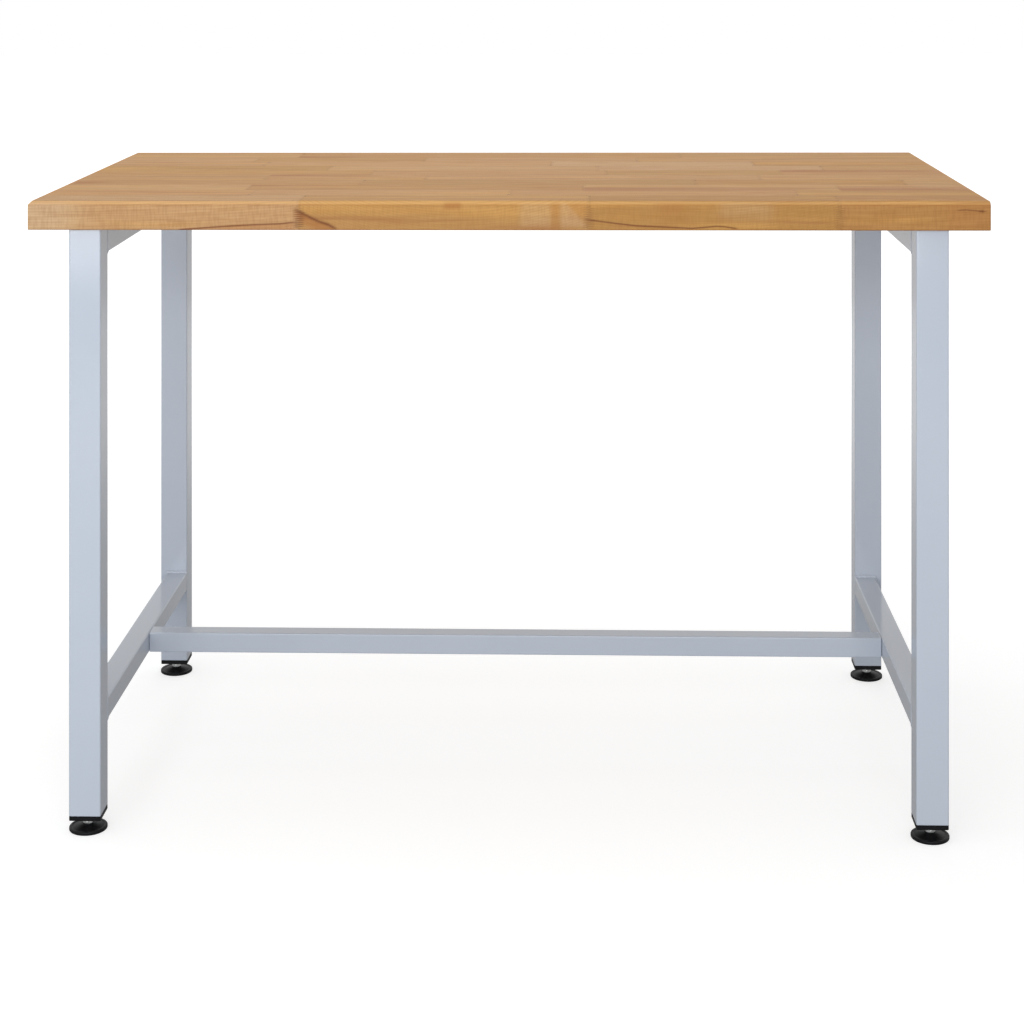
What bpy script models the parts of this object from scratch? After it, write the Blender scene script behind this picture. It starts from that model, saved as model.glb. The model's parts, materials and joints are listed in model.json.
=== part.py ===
"""Workbench: a laminated beech worktop on two welded side frames of square steel tube.

One stretcher is bolted between the lower rails of the side frames, screws through the upper rails
hold the worktop, and a levelling foot screws into a plastic plug in the end of each leg.
Lengths are in metres and +Z is up. The origin lies on the floor under the middle of the worktop,
and the front of the bench faces -Y.
"""

import math

import bmesh
import bpy

# Worktop
WORKTOP_LENGTH = 1.252
WORKTOP_DEPTH = 0.650
WORKTOP_THICKNESS = 0.038
WORKTOP_CHAMFER = 0.005  # top edges at the front, the back and the left end
WORKTOP_EASE = 0.001  # bottom edges, and the top edge of the sawn right end
WORKTOP_CORNER = 0.0015  # upright edges at the four corners
BENCH_HEIGHT = 0.833

# Legs, square tube
LEG_SIZE = 0.042
LEG_WALL = 0.002
LEG_CORNER = 0.002
LEG_SIDE_INSET = 0.052  # from the worktop's end to the leg
LEG_EDGE_INSET = 0.010  # from the worktop's front or back edge to the leg

# Rails from front leg to rear leg, and the stretcher from left to right
UPPER_RAIL_WIDTH = 0.032
UPPER_RAIL_HEIGHT = 0.036
LOWER_RAIL_WIDTH = 0.032
LOWER_RAIL_HEIGHT = 0.0285
LOWER_RAIL_TOP = 0.165
STRETCHER_SIZE = 0.0285
RAIL_WALL = 0.002
RAIL_CORNER = 0.002
LEAST_CORNER = 0.0003  # inside corner radius of a tube whose wall is as thick as its corner

# Clearances that stand for touching faces and for play in holes
SEAT_GAP = 0.0003
HOLE_GAP = 0.0003

# Stretcher bolts, hidden inside the lower rails, and the threaded plugs that they screw into
BOLT_DIAMETER = 0.008
BOLT_HEAD_FLATS = 0.013
BOLT_HEAD_HEIGHT = 0.0053
BOLT_END_PAST_PLUG = 0.002
BOLT_WASHER_DIAMETER = 0.016
BOLT_WASHER_THICKNESS = 0.0016
BOLT_ACCESS_GAP = 0.0015  # round the washer, in the outer wall's hole for a socket spanner
STRETCHER_PLUG_LENGTH = 0.010
HEX_CHAMFER = 0.0007  # on every hexagon

# Screws that hold the worktop from below
SCREW_DIAMETER = 0.006
SCREW_GRIP = 0.024  # length inside the wood
SCREW_POINT_LENGTH = 0.006
SCREW_POINT_DIAMETER = 0.0016
SCREW_HEAD_DIAMETER = 0.012
SCREW_HEAD_HEIGHT = 0.0036
SCREW_HEAD_CROWN = 0.0016
SCREW_SOCKET_FLATS = 0.004
SCREW_SOCKET_DEPTH = 0.0022
SCREW_WASHER_DIAMETER = 0.016
SCREW_WASHER_THICKNESS = 0.0012
SCREW_END_INSET = 0.075  # from the upper rail's end to the outer screws

# Plug in the leg's lower end, with its nut
PLUG_FLANGE_THICKNESS = 0.0056
PLUG_FLANGE_EASE = 0.0006
PLUG_LENGTH = 0.022  # above the flange
PLUG_RIDGES = 3
PLUG_RIDGE_HEIGHT = 0.0006
PLUG_RIDGE_LENGTH = 0.004
PLUG_WALL = 0.002
PLUG_BOSS_WALL = 0.0016
PLUG_WEB = 0.002
PLUG_POCKET_FLOOR = 0.003  # plastic left between the pockets and the flange's upper face
NUT_FLATS = 0.013
NUT_HEIGHT = 0.0065

# Threaded stem of the levelling foot
STEM_DIAMETER = 0.008
STEM_LENGTH = 0.0297  # above the hexagon
STEM_SHOWING = 0.0048  # thread between the hexagon and the plug
STEM_CHAMFER = 0.001
STEM_HEX_FLATS = 0.013
STEM_HEX_HEIGHT = 0.0045
STEM_NECK_DIAMETER = 0.0044
STEM_BALL_DIAMETER = 0.0062
STEM_BALL_FLAT = 0.0020

# Pad of the levelling foot
PAD_DIAMETER = 0.050
PAD_RIM_HEIGHT = 0.0044
PAD_RIM_WIDTH = 0.0035
PAD_EASE = 0.0007
PAD_CONE_STEP = 0.0006  # from the rim's top down to the cone's foot
PAD_COLLAR = 0.0012  # upright part of the hub, above the cone
PAD_HUB_WALL = 0.0036
PAD_FLOOR = 0.0012  # under the ball
PAD_LIP = 0.0010  # above the ball's socket
PAD_MOUTH_GAP = 0.0005  # round the stem's neck
PAD_SOLE_WIDTH = 0.006  # ring that stands on the floor
PAD_SOLE_RECESS = 0.0006

# Facets
FASTENER_SIDES = 12
PAD_SIDES = 24
CORNER_STEPS = 3
BALL_STEPS = 4
BOSS_STEPS = 5
SMOOTH_ANGLE = math.radians(35)
CUT_MARGIN = 0.001  # how far a cutter reaches past a face

# Places that follow from the sizes above
WORKTOP_BOTTOM = BENCH_HEIGHT - WORKTOP_THICKNESS
LEG_TOP = WORKTOP_BOTTOM - SEAT_GAP
SOCKET_RADIUS = STEM_BALL_DIAMETER / 2 + HOLE_GAP
MOUTH_RADIUS = STEM_NECK_DIAMETER / 2 + PAD_MOUTH_GAP
BALL_HEIGHT = PAD_SOLE_RECESS + PAD_FLOOR + SOCKET_RADIUS
PAD_HEIGHT = BALL_HEIGHT + math.sqrt(SOCKET_RADIUS**2 - MOUTH_RADIUS**2) + PAD_LIP
STEM_HEX_BOTTOM = PAD_HEIGHT + SEAT_GAP
STEM_HEX_TOP = STEM_HEX_BOTTOM + STEM_HEX_HEIGHT
FLANGE_BOTTOM = STEM_HEX_TOP + STEM_SHOWING
FLANGE_TOP = FLANGE_BOTTOM + PLUG_FLANGE_THICKNESS
LEG_BOTTOM = FLANGE_TOP + SEAT_GAP
LEG_X = WORKTOP_LENGTH / 2 - LEG_SIDE_INSET - LEG_SIZE / 2
LEG_Y = WORKTOP_DEPTH / 2 - LEG_EDGE_INSET - LEG_SIZE / 2
INNER_FACE_X = LEG_X - LEG_SIZE / 2
RAIL_LENGTH = 2 * LEG_Y - LEG_SIZE - 2 * SEAT_GAP
UPPER_RAIL_X = INNER_FACE_X + UPPER_RAIL_WIDTH / 2
UPPER_RAIL_BOTTOM = LEG_TOP - UPPER_RAIL_HEIGHT
OUTER_SCREW_Y = RAIL_LENGTH / 2 - SCREW_END_INSET
LOWER_RAIL_X = INNER_FACE_X + LOWER_RAIL_WIDTH / 2
LOWER_RAIL_Z = LOWER_RAIL_TOP - LOWER_RAIL_HEIGHT / 2
STRETCHER_Z = LOWER_RAIL_TOP - STRETCHER_SIZE / 2
STRETCHER_END_X = INNER_FACE_X - SEAT_GAP

SIDES = {"left": -1, "right": 1}
ENDS = {"front": -1, "rear": 1}
SCREW_ROWS = {"front": -1, "middle": 0, "rear": 1}


def clear_scene():
    """Removes whatever the opened file holds."""
    for thing in list(bpy.data.objects):
        bpy.data.objects.remove(thing)


def linear(channel):
    """One sRGB channel from 0 to 1 as linear light."""
    if channel <= 0.04045:
        return channel / 12.92
    return ((channel + 0.055) / 1.055) ** 2.4


def finish(name, colour, roughness, metallic):
    """A plain surface with an sRGB colour such as "c08a55"."""
    made = bpy.data.materials.new(name)
    made.use_nodes = True
    shader = made.node_tree.nodes["Principled BSDF"]
    channels = [linear(int(colour[i : i + 2], 16) / 255) for i in (0, 2, 4)]
    shader.inputs["Base Color"].default_value = (*channels, 1)
    shader.inputs["Roughness"].default_value = roughness
    shader.inputs["Metallic"].default_value = metallic
    return made


def circle(radius, sides=FASTENER_SIDES):
    """Points round a circle."""
    turn = 2 * math.pi / sides
    return [(radius * math.cos(i * turn), radius * math.sin(i * turn)) for i in range(sides)]


def hexagon(across_flats, sides=FASTENER_SIDES):
    """Points round a hexagon with a corner at +X; sides is a multiple of six."""
    points = []
    for i in range(sides):
        angle = 2 * math.pi * i / sides
        from_flat = angle % (math.pi / 3) - math.pi / 6
        reach = across_flats / 2 / math.cos(from_flat)
        points.append((reach * math.cos(angle), reach * math.sin(angle)))
    return points


def rounded_rectangle(width, depth, radius, shift=0.0):
    """Points round a rectangle whose corners are arcs, with its middle moved along X by shift."""
    points = []
    for quarter, (x, y) in enumerate(((1, 1), (-1, 1), (-1, -1), (1, -1))):
        centre_x = shift + x * (width / 2 - radius)
        centre_y = y * (depth / 2 - radius)
        for step in range(CORNER_STEPS + 1):
            angle = math.pi / 2 * (quarter + step / CORNER_STEPS)
            points.append((centre_x + radius * math.cos(angle), centre_y + radius * math.sin(angle)))
    return points


def square(size, radius):
    """Points round a square whose corners are arcs."""
    return rounded_rectangle(size, size, radius)


def add_loft(shape, rings, hollow):
    """Adds a body through outlines of one point count, each given with its height.

    A solid body has flat ends. A hollow one goes up its outside and down its inside, and joins up.
    """
    loops = [[shape.verts.new((x, y, height)) for x, y in outline] for outline, height in rings]
    pairs = list(zip(loops, loops[1:]))
    if hollow:
        pairs.append((loops[-1], loops[0]))
    else:
        shape.faces.new(loops[0][::-1])
        shape.faces.new(loops[-1])
    for low, high in pairs:
        for i, corner in enumerate(low):
            following = (i + 1) % len(low)
            shape.faces.new((corner, low[following], high[following], high[i]))


def loft(name, bodies, surface=None, hollow=False):
    """A mesh of one or more lofted bodies, with round faces shaded smooth."""
    shape = bmesh.new()
    for rings in bodies:
        add_loft(shape, rings, hollow)
    mesh = bpy.data.meshes.new(name)
    shape.to_mesh(mesh)
    shape.free()
    if surface:
        mesh.materials.append(surface)
    mesh.shade_smooth()
    mesh.set_sharp_from_angle(angle=SMOOTH_ANGLE)
    return mesh


def place(name, mesh, location=(0, 0, 0), rotation=(0, 0, 0), parent=None):
    """An object for a mesh, at a place that counts from its parent if it has one."""
    thing = bpy.data.objects.new(name, mesh)
    bpy.context.scene.collection.objects.link(thing)
    thing.parent = parent
    thing.location = location
    thing.rotation_euler = rotation
    return thing


def cutter(name, bodies, location=(0, 0, 0), rotation=(0, 0, 0)):
    """A shape that only cuts other pieces."""
    thing = place(name, loft(name, bodies), location, rotation)
    thing.hide_render = True
    thing.display_type = "WIRE"
    return thing


def cut(target, tool):
    """Takes the tool's shape out of the target."""
    change = target.modifiers.new(tool.name, "BOOLEAN")
    change.operation = "DIFFERENCE"
    change.solver = "EXACT"
    change.object = tool


def inner_corner(corner, wall):
    """The inside corner radius of a bent tube wall."""
    return max(corner - wall, LEAST_CORNER)


def tube(name, width, height, wall, corner, length, surface):
    """A rectangular tube along +Z from its lower end, open at both ends."""
    outside = rounded_rectangle(width, height, corner)
    inside = rounded_rectangle(width - 2 * wall, height - 2 * wall, inner_corner(corner, wall))
    rings = [(outside, 0), (outside, length), (inside, length), (inside, 0)]
    return loft(name, [rings], surface, hollow=True)


def worktop_outline(inset, right_inset):
    """The worktop's plan, drawn in by inset, and by right_inset at its right end."""
    length = WORKTOP_LENGTH - inset - right_inset
    depth = WORKTOP_DEPTH - 2 * inset
    return rounded_rectangle(length, depth, WORKTOP_CORNER, (inset - right_inset) / 2)


def make_worktop(surface):
    """The glued panel: a wide chamfer along three top edges, the sawn right end only eased."""
    rings = [
        (worktop_outline(WORKTOP_EASE, WORKTOP_EASE), WORKTOP_BOTTOM),
        (worktop_outline(0, 0), WORKTOP_BOTTOM + WORKTOP_EASE),
        (worktop_outline(0, 0), BENCH_HEIGHT - WORKTOP_CHAMFER),
        (worktop_outline(WORKTOP_CHAMFER - WORKTOP_EASE, 0), BENCH_HEIGHT - WORKTOP_EASE),
        (worktop_outline(WORKTOP_CHAMFER, WORKTOP_EASE), BENCH_HEIGHT),
    ]
    return place("worktop", loft("worktop", [rings], surface))


def make_legs(surface):
    """Four upright tubes, open at the bottom for the plugs."""
    mesh = tube("leg", LEG_SIZE, LEG_SIZE, LEG_WALL, LEG_CORNER, LEG_TOP - LEG_BOTTOM, surface)
    for end, y in ENDS.items():
        for side, x in SIDES.items():
            place(f"leg_{end}_{side}", mesh, (x * LEG_X, y * LEG_Y, LEG_BOTTOM))


def make_rails(surface, worktop):
    """Rails from front leg to rear leg, drilled for the worktop screws and the stretcher bolts.

    A bolt goes through a lower rail's inner wall, and the wider hole in its outer wall lets it in.
    """
    along_y = (-math.pi / 2, 0, 0)
    start_y = -RAIL_LENGTH / 2
    stock = (RAIL_WALL, RAIL_CORNER, RAIL_LENGTH, surface)
    upper = tube("upper_rail", UPPER_RAIL_WIDTH, UPPER_RAIL_HEIGHT, *stock)
    lower = tube("lower_rail", LOWER_RAIL_WIDTH, LOWER_RAIL_HEIGHT, *stock)
    bolt_hole = circle(BOLT_DIAMETER / 2 + HOLE_GAP)
    access_hole = circle(BOLT_WASHER_DIAMETER / 2 + BOLT_ACCESS_GAP)
    bolt_reach = LOWER_RAIL_WIDTH / 2 + CUT_MARGIN
    bolt_holes = [(bolt_hole, -bolt_reach), (bolt_hole, 0), (access_hole, 0), (access_hole, bolt_reach)]
    screw_hole = circle(SCREW_DIAMETER / 2 + HOLE_GAP)
    screw_holes = []
    for row in SCREW_ROWS.values():
        hole = [(x, y + row * OUTER_SCREW_Y) for x, y in screw_hole]
        low = UPPER_RAIL_BOTTOM - CUT_MARGIN
        high = WORKTOP_BOTTOM + SCREW_GRIP + HOLE_GAP
        screw_holes.append([(hole, low), (hole, high)])
    for side, x in SIDES.items():
        upper_z = UPPER_RAIL_BOTTOM + UPPER_RAIL_HEIGHT / 2
        upper_rail = place(f"upper_rail_{side}", upper, (x * UPPER_RAIL_X, start_y, upper_z), along_y)
        screw_drill = cutter(f"screw_drill_{side}", screw_holes, (x * UPPER_RAIL_X, 0, 0))
        cut(upper_rail, screw_drill)
        cut(worktop, screw_drill)
        lower_rail = place(f"lower_rail_{side}", lower, (x * LOWER_RAIL_X, start_y, LOWER_RAIL_Z), along_y)
        bolt_spot = (x * LOWER_RAIL_X, 0, STRETCHER_Z)
        bolt_drill = cutter(f"bolt_drill_{side}", [bolt_holes], bolt_spot, (0, x * math.pi / 2, 0))
        cut(lower_rail, bolt_drill)


def make_stretcher(surface, steel, zinc):
    """The tube between the lower rails, with a threaded plug at each end and a bolt from inside the rail."""
    along_x = (0, math.pi / 2, 0)
    mesh = tube(
        "stretcher", STRETCHER_SIZE, STRETCHER_SIZE, RAIL_WALL, RAIL_CORNER, 2 * STRETCHER_END_X, surface
    )
    place("stretcher", mesh, (-STRETCHER_END_X, 0, STRETCHER_Z), along_x)

    plug_size = STRETCHER_SIZE - 2 * RAIL_WALL - 2 * SEAT_GAP
    plug_block = square(plug_size, inner_corner(RAIL_CORNER, RAIL_WALL))
    plug_hole = turned(circle(BOLT_DIAMETER / 2 + HOLE_GAP, len(plug_block)), plug_block)
    plug_rings = [
        (plug_block, 0),
        (plug_block, STRETCHER_PLUG_LENGTH),
        (plug_hole, STRETCHER_PLUG_LENGTH),
        (plug_hole, 0),
    ]
    plug_mesh = loft("stretcher_plug", [plug_rings], steel, hollow=True)

    washer_size = (BOLT_WASHER_DIAMETER, BOLT_WASHER_THICKNESS, BOLT_DIAMETER)
    washer_mesh = washer("stretcher_washer", *washer_size, zinc)

    washer_base = RAIL_WALL + 2 * SEAT_GAP
    head_base = washer_base + BOLT_WASHER_THICKNESS + SEAT_GAP
    shank_end = -STRETCHER_PLUG_LENGTH - BOLT_END_PAST_PLUG
    head_top = head_base + BOLT_HEAD_HEIGHT
    bolt_rings = [
        (circle(BOLT_DIAMETER / 2), shank_end),
        (circle(BOLT_DIAMETER / 2), head_base),
        (hexagon(BOLT_HEAD_FLATS), head_base),
        (hexagon(BOLT_HEAD_FLATS), head_top - HEX_CHAMFER),
        (circle(BOLT_HEAD_FLATS / 2), head_top),
    ]
    bolt_mesh = loft("stretcher_bolt", [bolt_rings], zinc)

    for side, x in SIDES.items():
        outward = (0, x * math.pi / 2, 0)
        end = (x * STRETCHER_END_X, 0, STRETCHER_Z)
        place(f"stretcher_plug_{side}", plug_mesh, end, (0, -x * math.pi / 2, 0))
        place(f"stretcher_bolt_{side}", bolt_mesh, end, outward)
        washer_x = x * (STRETCHER_END_X + washer_base)
        place(f"stretcher_washer_{side}", washer_mesh, (washer_x, 0, STRETCHER_Z), outward)


def turned(points, like):
    """The points as a ring that starts nearest to the direction in which another ring starts."""
    start = math.atan2(like[0][1], like[0][0])
    first = min(range(len(points)), key=lambda i: abs(math.atan2(points[i][1], points[i][0]) - start))
    return points[first:] + points[:first]


def washer(name, diameter, thickness, shaft, surface):
    """A flat washer that stands on its own origin."""
    outside = circle(diameter / 2)
    inside = circle(shaft / 2 + HOLE_GAP)
    rings = [(outside, 0), (outside, thickness), (inside, thickness), (inside, 0)]
    return loft(name, [rings], surface, hollow=True)


def make_worktop_screws(zinc):
    """Button-head screws with washers, from below through each upper rail into the wood."""
    seat = UPPER_RAIL_BOTTOM - SEAT_GAP
    washer_bottom = seat - SCREW_WASHER_THICKNESS
    head_top = washer_bottom - SEAT_GAP
    head_bottom = head_top - SCREW_HEAD_HEIGHT
    tip = WORKTOP_BOTTOM + SCREW_GRIP
    socket = hexagon(SCREW_SOCKET_FLATS)
    flat = SCREW_HEAD_DIAMETER / 2 - SCREW_HEAD_CROWN
    rings = [
        (socket, head_bottom + SCREW_SOCKET_DEPTH),
        (socket, head_bottom),
        (circle(flat), head_bottom),
        (circle(SCREW_HEAD_DIAMETER / 2), head_bottom + SCREW_HEAD_CROWN),
        (circle(SCREW_HEAD_DIAMETER / 2), head_top),
        (circle(SCREW_DIAMETER / 2), head_top),
        (circle(SCREW_DIAMETER / 2), tip - SCREW_POINT_LENGTH),
        (circle(SCREW_POINT_DIAMETER / 2), tip),
    ]
    screw_mesh = loft("worktop_screw", [rings], zinc)
    washer_size = (SCREW_WASHER_DIAMETER, SCREW_WASHER_THICKNESS, SCREW_DIAMETER)
    washer_mesh = washer("worktop_washer", *washer_size, zinc)
    for side, x in SIDES.items():
        for row, y in SCREW_ROWS.items():
            spot_x = x * UPPER_RAIL_X
            spot_y = y * OUTER_SCREW_Y
            place(f"worktop_screw_{side}_{row}", screw_mesh, (spot_x, spot_y, 0))
            place(f"worktop_washer_{side}_{row}", washer_mesh, (spot_x, spot_y, washer_bottom))


def plug_pocket(wall_half, boss_radius, quarter):
    """One corner pocket of the plug, between its wall, its round boss and the webs that join them."""
    half_web = PLUG_WEB / 2
    start = math.asin(half_web / boss_radius)
    sweep = math.pi / 2 - 2 * start
    points = [(wall_half, half_web), (wall_half, wall_half), (half_web, wall_half)]
    for step in range(BOSS_STEPS + 1):
        angle = math.pi / 2 - start - sweep * step / BOSS_STEPS
        points.append((boss_radius * math.cos(angle), boss_radius * math.sin(angle)))
    turn = quarter * math.pi / 2
    c, s = math.cos(turn), math.sin(turn)
    return [(c * x - s * y, s * x + c * y) for x, y in points]


def make_plug_mesh(surface):
    """The ribbed plastic plug: flange, barbed ridges, corner pockets, and a boss with a nut seat."""
    flange = square(LEG_SIZE, LEG_CORNER)
    flange_end = square(LEG_SIZE - 2 * PLUG_FLANGE_EASE, LEG_CORNER - PLUG_FLANGE_EASE)
    crest_size = LEG_SIZE - 2 * LEG_WALL - 2 * SEAT_GAP
    root_size = crest_size - 2 * PLUG_RIDGE_HEIGHT
    corner = inner_corner(LEG_CORNER, LEG_WALL)
    crest = square(crest_size, corner)
    root = square(root_size, corner)
    top = FLANGE_TOP + PLUG_LENGTH
    rings = [
        (flange_end, FLANGE_BOTTOM),
        (flange, FLANGE_BOTTOM + PLUG_FLANGE_EASE),
        (flange, FLANGE_TOP),
        (root, FLANGE_TOP),
    ]
    pitch = PLUG_LENGTH / (PLUG_RIDGES + 1)
    for ridge in range(1, PLUG_RIDGES + 1):
        barb = FLANGE_TOP + ridge * pitch - PLUG_RIDGE_LENGTH / 2
        rings += [(root, barb), (crest, barb), (root, barb + PLUG_RIDGE_LENGTH)]
    rings.append((square(root_size - 2 * PLUG_RIDGE_HEIGHT, corner), top))
    body = place("plug_body", loft("plug_body", [rings], surface))

    nut_seat = hexagon(NUT_FLATS + 2 * HOLE_GAP)
    nut_top = FLANGE_BOTTOM + NUT_HEIGHT + SEAT_GAP
    stem_bore = circle(STEM_DIAMETER / 2 + HOLE_GAP)
    bore_rings = [
        (nut_seat, FLANGE_BOTTOM - CUT_MARGIN),
        (nut_seat, nut_top),
        (stem_bore, nut_top),
        (stem_bore, top + CUT_MARGIN),
    ]
    boss_radius = (NUT_FLATS / 2 + HOLE_GAP) / math.cos(math.pi / 6) + PLUG_BOSS_WALL
    wall_half = root_size / 2 - PLUG_RIDGE_HEIGHT - PLUG_WALL
    floor = FLANGE_TOP + PLUG_POCKET_FLOOR
    pockets = []
    for quarter in range(4):
        outline = plug_pocket(wall_half, boss_radius, quarter)
        pockets.append([(outline, floor), (outline, top + CUT_MARGIN)])
    tools = [cutter("plug_bore", [bore_rings]), cutter("plug_pockets", pockets)]
    for tool in tools:
        cut(body, tool)

    bpy.context.view_layer.update()
    mesh = bpy.data.meshes.new_from_object(body.evaluated_get(bpy.context.evaluated_depsgraph_get()))
    for helper in (body, *tools):
        bpy.data.objects.remove(helper)
    return mesh


def make_nut_mesh(surface):
    """A hexagon nut, flush with the flange's lower face, with its corners chamfered."""
    bore = circle(STEM_DIAMETER / 2 + HOLE_GAP)
    low = FLANGE_BOTTOM
    high = FLANGE_BOTTOM + NUT_HEIGHT
    rings = [
        (circle(NUT_FLATS / 2), low),
        (hexagon(NUT_FLATS), low + HEX_CHAMFER),
        (hexagon(NUT_FLATS), high - HEX_CHAMFER),
        (circle(NUT_FLATS / 2), high),
        (bore, high),
        (bore, low),
    ]
    return loft("foot_nut", [rings], surface, hollow=True)


def ball_rings(radius, low_radius, high_radius, sides):
    """Rings up the foot's ball or socket, from low_radius below its middle to high_radius above."""
    low = -math.acos(low_radius / radius)
    high = math.acos(high_radius / radius)
    rings = []
    for step in range(2 * BALL_STEPS + 1):
        angle = low + (high - low) * step / (2 * BALL_STEPS)
        height = BALL_HEIGHT + radius * math.sin(angle)
        rings.append((circle(radius * math.cos(angle), sides), height))
    return rings


def make_stem_mesh(surface):
    """The stem: a ball end that snaps into the pad, a neck, a spanner hexagon and the threaded rod."""
    neck = STEM_NECK_DIAMETER / 2
    top = STEM_HEX_TOP + STEM_LENGTH
    rings = ball_rings(STEM_BALL_DIAMETER / 2, STEM_BALL_FLAT / 2, neck, FASTENER_SIDES)
    rings += [
        (circle(neck), STEM_HEX_BOTTOM),
        (circle(STEM_HEX_FLATS / 2), STEM_HEX_BOTTOM),
        (hexagon(STEM_HEX_FLATS), STEM_HEX_BOTTOM + HEX_CHAMFER),
        (hexagon(STEM_HEX_FLATS), STEM_HEX_TOP - HEX_CHAMFER),
        (circle(STEM_HEX_FLATS / 2), STEM_HEX_TOP),
        (circle(STEM_DIAMETER / 2), STEM_HEX_TOP),
        (circle(STEM_DIAMETER / 2), top - STEM_CHAMFER),
        (circle(STEM_DIAMETER / 2 - STEM_CHAMFER), top),
    ]
    return loft("foot_stem", [rings], surface)


def make_pad_mesh(surface):
    """The moulded pad: a sole ring, a rim, a cone up to the hub, and the socket for the ball."""
    edge = PAD_DIAMETER / 2
    sole = edge - PAD_EASE
    inner_rim = edge - PAD_RIM_WIDTH
    hub = SOCKET_RADIUS + PAD_HUB_WALL
    profile = [
        (sole - PAD_SOLE_WIDTH, PAD_SOLE_RECESS),
        (sole - PAD_SOLE_WIDTH, 0),
        (sole, 0),
        (edge, PAD_EASE),
        (edge, PAD_RIM_HEIGHT - PAD_EASE),
        (edge - PAD_EASE, PAD_RIM_HEIGHT),
        (inner_rim, PAD_RIM_HEIGHT),
        (inner_rim - PAD_EASE, PAD_RIM_HEIGHT - PAD_CONE_STEP),
        (hub, PAD_HEIGHT - PAD_COLLAR),
        (hub, PAD_HEIGHT - PAD_EASE),
        (hub - PAD_EASE, PAD_HEIGHT),
        (MOUTH_RADIUS, PAD_HEIGHT),
    ]
    rings = [(circle(radius, PAD_SIDES), height) for radius, height in profile]
    rings += reversed(ball_rings(SOCKET_RADIUS, STEM_BALL_FLAT / 2, MOUTH_RADIUS, PAD_SIDES))
    return loft("foot_pad", [rings], surface)


def make_feet(plastic, zinc):
    """A plug, nut, stem and pad on one upright axis under each leg."""
    meshes = {
        "plug": make_plug_mesh(plastic),
        "nut": make_nut_mesh(zinc),
        "stem": make_stem_mesh(zinc),
        "pad": make_pad_mesh(plastic),
    }
    for end, y in ENDS.items():
        for side, x in SIDES.items():
            axis = place(f"foot_axis_{end}_{side}", None, (x * LEG_X, y * LEG_Y, 0))
            for piece, mesh in meshes.items():
                place(f"foot_{piece}_{end}_{side}", mesh, parent=axis)


def main():
    clear_scene()
    beech = finish("beech", "c1905e", 0.45, 0.0)
    powder_coat = finish("powder_coat", "c3cbd6", 0.35, 0.0)
    steel = finish("steel", "8d8f92", 0.45, 1.0)
    zinc = finish("zinc", "b9bcbf", 0.35, 1.0)
    black_plastic = finish("black_plastic", "18181b", 0.40, 0.0)
    worktop = make_worktop(beech)
    make_legs(powder_coat)
    make_rails(powder_coat, worktop)
    make_stretcher(powder_coat, steel, zinc)
    make_worktop_screws(zinc)
    make_feet(black_plastic, zinc)


main()
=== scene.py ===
"""Looks of the workbench: an oiled beech worktop on powder-coated tube, with zinc fasteners and black feet.

Each new piece is a surface worked out with numpy, in metres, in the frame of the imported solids.
"""

import json
import math

import bpy
import numpy as np
from mathutils import Matrix, Vector


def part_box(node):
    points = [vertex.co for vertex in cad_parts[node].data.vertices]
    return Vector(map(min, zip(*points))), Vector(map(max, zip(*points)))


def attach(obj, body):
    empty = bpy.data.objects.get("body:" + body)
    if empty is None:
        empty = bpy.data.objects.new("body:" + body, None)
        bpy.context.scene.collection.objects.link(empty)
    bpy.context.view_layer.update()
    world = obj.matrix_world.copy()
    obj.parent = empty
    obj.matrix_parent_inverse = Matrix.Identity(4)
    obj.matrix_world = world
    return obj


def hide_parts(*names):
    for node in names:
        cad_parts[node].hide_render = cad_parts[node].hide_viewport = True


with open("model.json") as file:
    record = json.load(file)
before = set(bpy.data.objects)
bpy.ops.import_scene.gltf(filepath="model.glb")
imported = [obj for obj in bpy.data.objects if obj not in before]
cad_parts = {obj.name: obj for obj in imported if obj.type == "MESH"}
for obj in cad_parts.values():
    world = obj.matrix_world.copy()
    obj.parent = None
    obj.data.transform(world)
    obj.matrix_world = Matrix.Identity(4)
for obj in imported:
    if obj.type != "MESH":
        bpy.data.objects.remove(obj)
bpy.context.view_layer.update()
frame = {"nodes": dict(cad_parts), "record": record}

MM = 0.001
SIDES = ("left", "right")
ENDS = ("front", "rear")
FEET = tuple(f"{end}_{side}" for end in ENDS for side in SIDES)
SCREW_ROWS = ("front", "middle", "rear")

# The photograph's camera: an upright film plane whose middle lies far below the lens's axis
FOCAL_PIXELS = 2028.7
LENS_AXIS_ROW = -46.8
PICTURE_PIXELS = 1024
EYE = (0.0959, -2.957, 1.155)
YAW = 0.0332
ROLL = -0.0036
FILM_MM = 36

# Worktop
STAVE_WIDTH = 62.5 * MM
CHAMFER = 5 * MM  # front, back and left top edges
EASE = 1 * MM  # bottom edges, and the top edge of the sawn right end
ARRIS = 1.8 * MM  # softening of every edge along the worktop
CORNER = 1.5 * MM  # upright edges
FINGER = 6 * MM  # half the length of a joint's fingers
FINGERS = 24
FINGER_FADE = 1.7 * FINGER  # how far from a joint its fingers pull the grid along
FINGER_SLANT = 0.25  # distance to the glue of a finger's side, for each step along the worktop
GRID_STEP = 3 * MM
END_ROWS = MM * np.array((0, 0.4, 0.8, 1.2, 1.6, 2.4, 3.2, 4.0))  # from either end
EDGE_ROW = 2.5 * MM  # last row of points before the edges of the top and the underside
EDGE_CLEAR = 3 * MM
HAIR = 0.001 * MM  # slack in comparing places

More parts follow.
